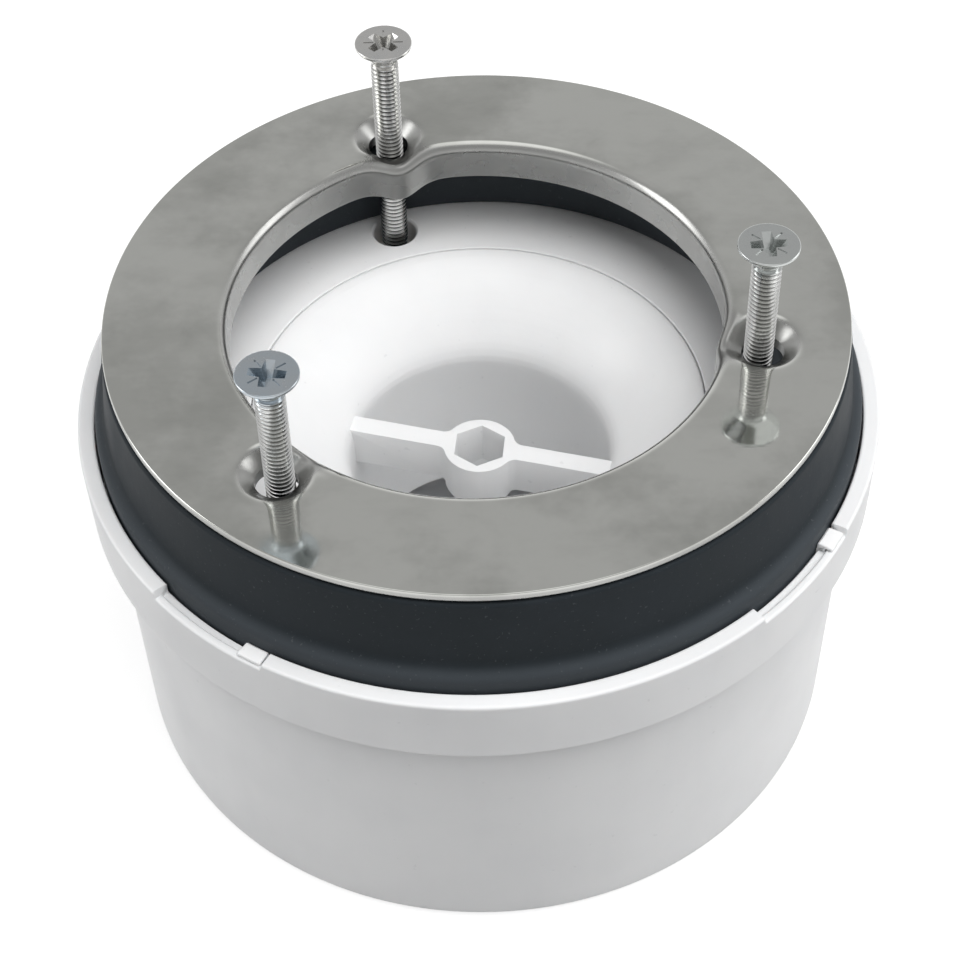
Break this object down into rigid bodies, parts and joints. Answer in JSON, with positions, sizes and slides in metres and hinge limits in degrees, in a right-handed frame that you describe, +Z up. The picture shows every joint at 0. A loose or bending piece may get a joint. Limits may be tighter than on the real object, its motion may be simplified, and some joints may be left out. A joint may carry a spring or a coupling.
{
  "type": "shower drain trap",
  "caption": "Round plastic shower drain trap with a rubber tray gasket, pressed steel clamp ring, raised screws and a lift-out dip tube insert.",
  "frame": {"origin": "centre of the pot underside, on the vertical axis of the trap", "axes": "+Z up through the clamp ring, +Y along the outlet, +X to the right seen from the front"},
  "size_m": [0.1108, 0.1354, 0.086],
  "materials": {
    "white_moulding": "moulded white polypropylene with a fine satin surface",
    "bright_moulding": "moulded white polypropylene, slightly glossier",
    "black_rubber": "moulded black sealing rubber with a dusty satin sheen",
    "seal_rubber": "smooth black nitrile rubber",
    "pressed_steel": "pressed stainless sheet with a satin mill finish",
    "plated_steel": "bright plated screw steel",
    "machined_brass": "turned brass"
  },
  "bodies": {
    "pot": {"pot_body": "white_moulding", "flange_seal": "seal_rubber"},
    "flange": {"fixing_flange": "bright_moulding", "threaded_insert_1": "machined_brass", "threaded_insert_2": "machined_brass", "threaded_insert_3": "machined_brass"},
    "gasket": {"tray_gasket": "black_rubber"},
    "ring": {"clamp_ring": "pressed_steel"},
    "screw_1": {"clamp_screw_1": "plated_steel"},
    "screw_2": {"clamp_screw_2": "plated_steel"},
    "screw_3": {"clamp_screw_3": "plated_steel"},
    "sealing_ring": {"insert_oring": "seal_rubber"},
    "insert": {"trap_insert": "white_moulding"}
  },
  "joints": [
    {"name": "flange_turn", "type": "hinge", "parent": "pot", "child": "flange", "pos_m": [0, 0, 0.05], "axis": [0, 0, 1], "range_deg": [-15, 0]},
    {"name": "gasket_lift", "type": "slide", "parent": "flange", "child": "gasket", "axis": [0, 0, 1], "range_m": [0, 0.02]},
    {"name": "ring_lift", "type": "slide", "parent": "gasket", "child": "ring", "axis": [0, 0, 1], "range_m": [0, 0.03]},
    {"name": "screw_drive_1", "type": "slide", "parent": "ring", "child": "screw_1", "axis": [0, 0, 1], "range_m": [-0.0164, 0]},
    {"name": "screw_drive_2", "type": "slide", "parent": "ring", "child": "screw_2", "axis": [0, 0, 1], "range_m": [-0.0164, 0]},
    {"name": "screw_drive_3", "type": "slide", "parent": "ring", "child": "screw_3", "axis": [0, 0, 1], "range_m": [-0.0164, 0]},
    {"name": "insert_lift", "type": "slide", "parent": "flange", "child": "sealing_ring", "axis": [0, 0, 1], "range_m": [0, 0.06]},
    {"name": "insert_turn", "type": "hinge", "parent": "sealing_ring", "child": "insert", "pos_m": [0, 0, 0.045], "axis": [0, 0, 1], "continuous": true}
  ]
}
